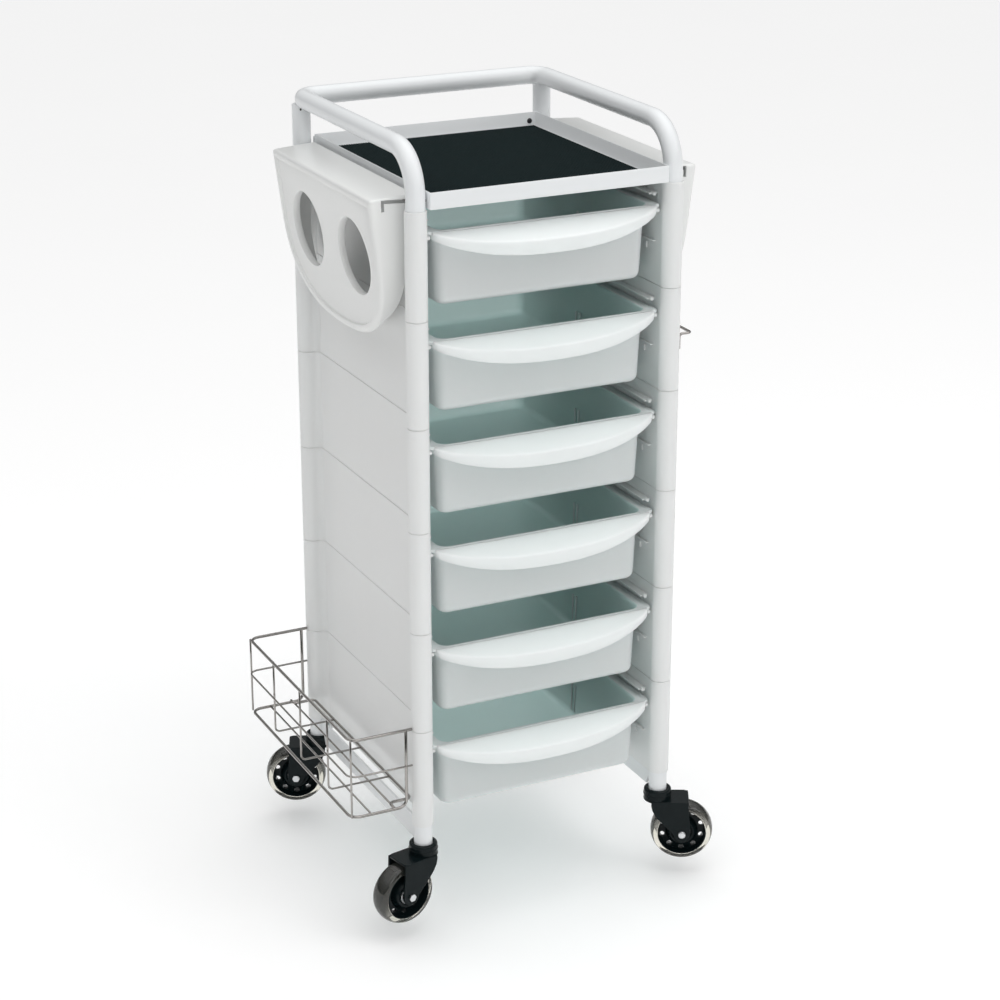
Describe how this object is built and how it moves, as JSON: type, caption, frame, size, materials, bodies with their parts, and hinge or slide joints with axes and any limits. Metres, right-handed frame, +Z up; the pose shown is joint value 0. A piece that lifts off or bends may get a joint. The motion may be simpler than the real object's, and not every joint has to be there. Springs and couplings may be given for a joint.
{
  "type": "rolling salon trolley",
  "caption": "Tall rolling salon trolley with stacked pull-out drawers, a top tray, flip-up dryer holders on the sides, a wire basket and swivel casters.",
  "frame": {"origin": "on the floor, at the middle of the whole object's footprint", "axes": "+Z up, drawers open towards -Y, +X to the right when facing the drawers"},
  "size_m": [0.4637, 0.3994, 0.9072],
  "materials": {
    "white_paint": "smooth white powder coat, semi-gloss",
    "module_plastic": "white moulded plastic, satin",
    "drawer_plastic": "milky translucent moulded plastic with a pale green tint, satin",
    "holder_plastic": "white moulded plastic, semi-gloss",
    "mat_rubber": "black ribbed rubber, matt",
    "chrome": "bright plated wire",
    "caster_plastic": "black moulded plastic, glossy",
    "tyre_plastic": "beige-grey translucent polyurethane tread",
    "steel": "zinc-plated steel",
    "dark_steel": "dark plated screws"
  },
  "bodies": {
    "frame": {"hoop_tube": "white_paint", "rear_post_left": "white_paint", "rear_post_right": "white_paint", "lower_rail_left": "white_paint", "lower_rail_right": "white_paint", "lower_rear_bar": "white_paint", "tray_rear_bar": "white_paint", "tray": "white_paint", "tray_mat": "mat_rubber", "side_module_left_1": "module_plastic", "side_module_left_2": "module_plastic", "side_module_left_3": "module_plastic", "side_module_left_4": "module_plastic", "side_module_left_5": "module_plastic", "side_module_left_6": "module_plastic", "side_module_right_1": "module_plastic", "side_module_right_2": "module_plastic", "side_module_right_3": "module_plastic", "side_module_right_4": "module_plastic", "side_module_right_5": "module_plastic", "side_module_right_6": "module_plastic", "holder_pivot_rod_left": "chrome", "tray_screw_left": "dark_steel", "holder_pivot_rod_right": "chrome", "tray_screw_right": "dark_steel", "wire_basket_left": "chrome", "wire_rail_right": "chrome", "caster_stem_front_left": "steel", "caster_stem_front_right": "steel", "caster_stem_rear_left": "steel", "caster_stem_rear_right": "steel"},
    "drawer_body_1": {"drawer_1": "drawer_plastic"},
    "drawer_body_2": {"drawer_2": "drawer_plastic"},
    "drawer_body_3": {"drawer_3": "drawer_plastic"},
    "drawer_body_4": {"drawer_4": "drawer_plastic"},
    "drawer_body_5": {"drawer_5": "drawer_plastic"},
    "drawer_body_6": {"drawer_6": "drawer_plastic"},
    "holder_body_left": {"dryer_holder_left": "holder_plastic"},
    "holder_body_right": {"dryer_holder_right": "holder_plastic"},
    "swivel_front_left": {"caster_fork_front_left": "caster_plastic", "caster_axle_front_left": "steel"},
    "wheel_front_left": {"wheel_core_front_left": "caster_plastic", "tyre_front_left": "tyre_plastic", "wheel_bearing_front_left": "steel"},
    "swivel_front_right": {"caster_fork_front_right": "caster_plastic", "caster_axle_front_right": "steel"},
    "wheel_front_right": {"wheel_core_front_right": "caster_plastic", "tyre_front_right": "tyre_plastic", "wheel_bearing_front_right": "steel"},
    "swivel_rear_left": {"caster_fork_rear_left": "caster_plastic", "caster_axle_rear_left": "steel"},
    "wheel_rear_left": {"wheel_core_rear_left": "caster_plastic", "tyre_rear_left": "tyre_plastic", "wheel_bearing_rear_left": "steel"},
    "swivel_rear_right": {"caster_fork_rear_right": "caster_plastic", "caster_axle_rear_right": "steel"},
    "wheel_rear_right": {"wheel_core_rear_right": "caster_plastic", "tyre_rear_right": "tyre_plastic", "wheel_bearing_rear_right": "steel"}
  },
  "joints": [
    {"name": "drawer_1_slide", "type": "slide", "parent": "frame", "child": "drawer_body_1", "axis": [0, -1, 0], "range_m": [0, 0.24]},
    {"name": "drawer_2_slide", "type": "slide", "parent": "frame", "child": "drawer_body_2", "axis": [0, -1, 0], "range_m": [0, 0.24]},
    {"name": "drawer_3_slide", "type": "slide", "parent": "frame", "child": "drawer_body_3", "axis": [0, -1, 0], "range_m": [0, 0.24]},
    {"name": "drawer_4_slide", "type": "slide", "parent": "frame", "child": "drawer_body_4", "axis": [0, -1, 0], "range_m": [0, 0.24]},
    {"name": "drawer_5_slide", "type": "slide", "parent": "frame", "child": "drawer_body_5", "axis": [0, -1, 0], "range_m": [0, 0.24]},
    {"name": "drawer_6_slide", "type": "slide", "parent": "frame", "child": "drawer_body_6", "axis": [0, -1, 0], "range_m": [0, 0.24]},
    {"name": "holder_left_flip", "type": "hinge", "parent": "frame", "child": "holder_body_left", "pos_m": [-0.1394, 0.00305, 0.8405], "axis": [0, 1, 0], "range_deg": [0, 60]},
    {"name": "holder_right_flip", "type": "hinge", "parent": "frame", "child": "holder_body_right", "pos_m": [0.1678, 0.00305, 0.8405], "axis": [0, -1, 0], "range_deg": [0, 60]},
    {"name": "swivel_front_left_turn", "type": "hinge", "parent": "frame", "child": "swivel_front_left", "pos_m": [-0.1404, -0.15855, 0.09], "axis": [0, 0, 1], "continuous": true},
    {"name": "wheel_front_left_spin", "type": "hinge", "parent": "swivel_front_left", "child": "wheel_front_left", "pos_m": [-0.16974, -0.16479, 0.0375], "axis": [0.2079, -0.9781, 0], "continuous": true},
    {"name": "swivel_front_right_turn", "type": "hinge", "parent": "frame", "child": "swivel_front_right", "pos_m": [0.1688, -0.15855, 0.09], "axis": [0, 0, 1], "continuous": true},
    {"name": "wheel_front_right_spin", "type": "hinge", "parent": "swivel_front_right", "child": "wheel_front_right", "pos_m": [0.19529, -0.17263, 0.0375], "axis": [0.4695, 0.8829, 0], "continuous": true},
    {"name": "swivel_rear_left_turn", "type": "hinge", "parent": "frame", "child": "swivel_rear_left", "pos_m": [-0.1404, 0.15855, 0.09], "axis": [0, 0, 1], "continuous": true},
    {"name": "wheel_rear_left_spin", "type": "hinge", "parent": "swivel_rear_left", "child": "wheel_rear_left", "pos_m": [-0.16802, 0.17027, 0.0375], "axis": [-0.3907, -0.9205, 0], "continuous": true},
    {"name": "swivel_rear_right_turn", "type": "hinge", "parent": "frame", "child": "swivel_rear_right", "pos_m": [0.1688, 0.15855, 0.09], "axis": [0, 0, 1], "continuous": true},
    {"name": "wheel_rear_right_spin", "type": "hinge", "parent": "swivel_rear_right", "child": "wheel_rear_right", "pos_m": [0.19529, 0.17263, 0.0375], "axis": [-0.4695, 0.8829, 0], "continuous": true}
  ]
}
